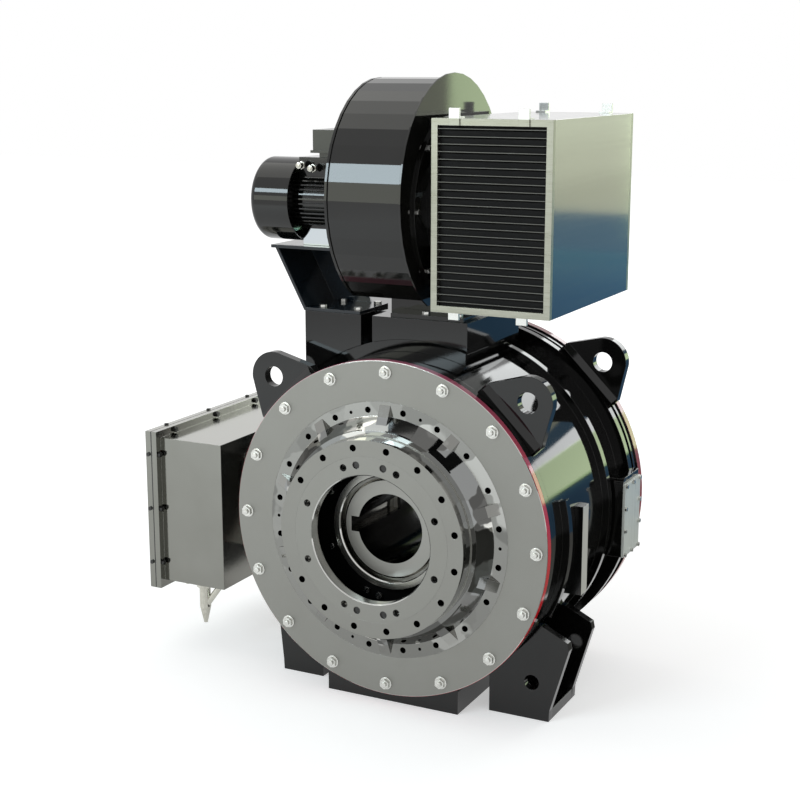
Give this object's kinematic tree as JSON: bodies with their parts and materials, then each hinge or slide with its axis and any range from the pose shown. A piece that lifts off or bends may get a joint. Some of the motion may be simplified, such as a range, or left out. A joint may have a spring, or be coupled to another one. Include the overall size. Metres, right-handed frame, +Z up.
{
  "type": "permanent magnet synchronous motor",
  "caption": "Black flange-mounted permanent magnet synchronous motor with a hollow shaft, terminal box and top-mounted cooling blower with filter box",
  "frame": {"origin": "centre of the drive-end face of the flange, on the shaft axis", "axes": "+Z up, the shaft runs along Y with the drive end towards -Y, +X to the right seen from the drive end"},
  "size_m": [0.954, 0.5724, 1.2065],
  "materials": {
    "black_gloss": "gloss",
    "face_grey": "brushed",
    "polished_steel": "polished",
    "dark_steel": "satin",
    "bolt_steel": "satin",
    "dark_screws": "satin",
    "bearing_steel": "polished",
    "lamination": "satin",
    "magnet_nickel": "polished",
    "winding_copper": "gloss",
    "brushed_plate": "brushed",
    "box_grey": "satin",
    "gasket_rubber": "matt",
    "insulator": "matt",
    "plated_metal": "satin",
    "blower_sheet": "gloss",
    "galvanised": "satin",
    "dark_plastic": "matt",
    "filter_sheet": "brushed",
    "filter_fleece": "matt"
  },
  "bodies": {
    "frame": {"housing": "black_gloss", "drive_end_flange": "face_grey", "flange_bolts": "bolt_steel", "drive_end_shield": "polished_steel", "bearing_cover": "face_grey", "bearing_cover_screws": "dark_screws", "bearing_retainer": "dark_steel", "retainer_screws": "bolt_steel", "front_bearing_outer_race": "bearing_steel", "rear_bearing_outer_race": "bearing_steel", "stator_core": "lamination", "stator_windings": "winding_copper", "rear_end_shield": "black_gloss", "rear_flange_bolts": "bolt_steel", "rear_bearing_cover": "black_gloss", "rear_cover_screws": "bolt_steel", "front_right_lug": "black_gloss", "front_left_lug": "black_gloss", "rear_right_lug": "black_gloss", "rear_left_lug": "black_gloss", "right_foot": "black_gloss", "left_foot": "black_gloss", "base_box": "black_gloss", "side_pad": "black_gloss", "sensor_box": "black_gloss", "sensor_cover": "brushed_plate", "sensor_cover_screws": "bolt_steel", "terminal_box": "box_grey", "terminal_box_gasket": "gasket_rubber", "terminal_box_lid": "box_grey", "terminal_box_screws": "dark_screws", "terminal_board": "insulator", "cable_gland": "plated_metal", "blanking_plugs": "plated_metal", "air_plenum": "black_gloss", "plenum_saddle": "black_gloss", "scroll_casing": "blower_sheet", "scroll_inlet_plate": "blower_sheet", "inlet_ring": "blower_sheet", "inlet_ring_screws": "bolt_steel", "blower_mount_bolts": "bolt_steel", "blower_motor_frame": "black_gloss", "blower_motor_cowl": "blower_sheet", "blower_terminal_box": "box_grey", "motor_pedestal": "black_gloss", "filter_box": "filter_sheet", "front_grille": "filter_sheet", "rear_grille": "filter_sheet", "filter_mats": "filter_fleece"},
    "rotor": {"hollow_shaft": "face_grey", "rotor_core": "lamination", "rotor_magnets": "magnet_nickel", "labyrinth_ring": "polished_steel", "front_bearing_inner_race": "bearing_steel", "rear_bearing_inner_race": "bearing_steel"},
    "front_cage": {"front_bearing_rollers": "bearing_steel"},
    "rear_cage": {"rear_bearing_rollers": "bearing_steel"},
    "blower_rotor": {"impeller": "galvanised", "blower_shaft": "bearing_steel", "cooling_fan": "dark_plastic"}
  },
  "joints": [
    {"name": "rotor_spin", "type": "hinge", "parent": "frame", "child": "rotor", "pos_m": [0, 0, 0], "axis": [0, 1, 0], "continuous": true},
    {"name": "front_cage_spin", "type": "hinge", "parent": "frame", "child": "front_cage", "pos_m": [0, 0, 0], "axis": [0, 1, 0], "continuous": true},
    {"name": "rear_cage_spin", "type": "hinge", "parent": "frame", "child": "rear_cage", "pos_m": [0, 0, 0], "axis": [0, 1, 0], "continuous": true},
    {"name": "blower_spin", "type": "hinge", "parent": "frame", "child": "blower_rotor", "pos_m": [0, 0.152, 0.607], "axis": [1, 0, 0], "continuous": true}
  ],
  "couplings": [
    {"joint": "front_cage_spin", "follows": "rotor_spin", "ratio": 0.4639},
    {"joint": "rear_cage_spin", "follows": "rotor_spin", "ratio": 0.4639}
  ]
}
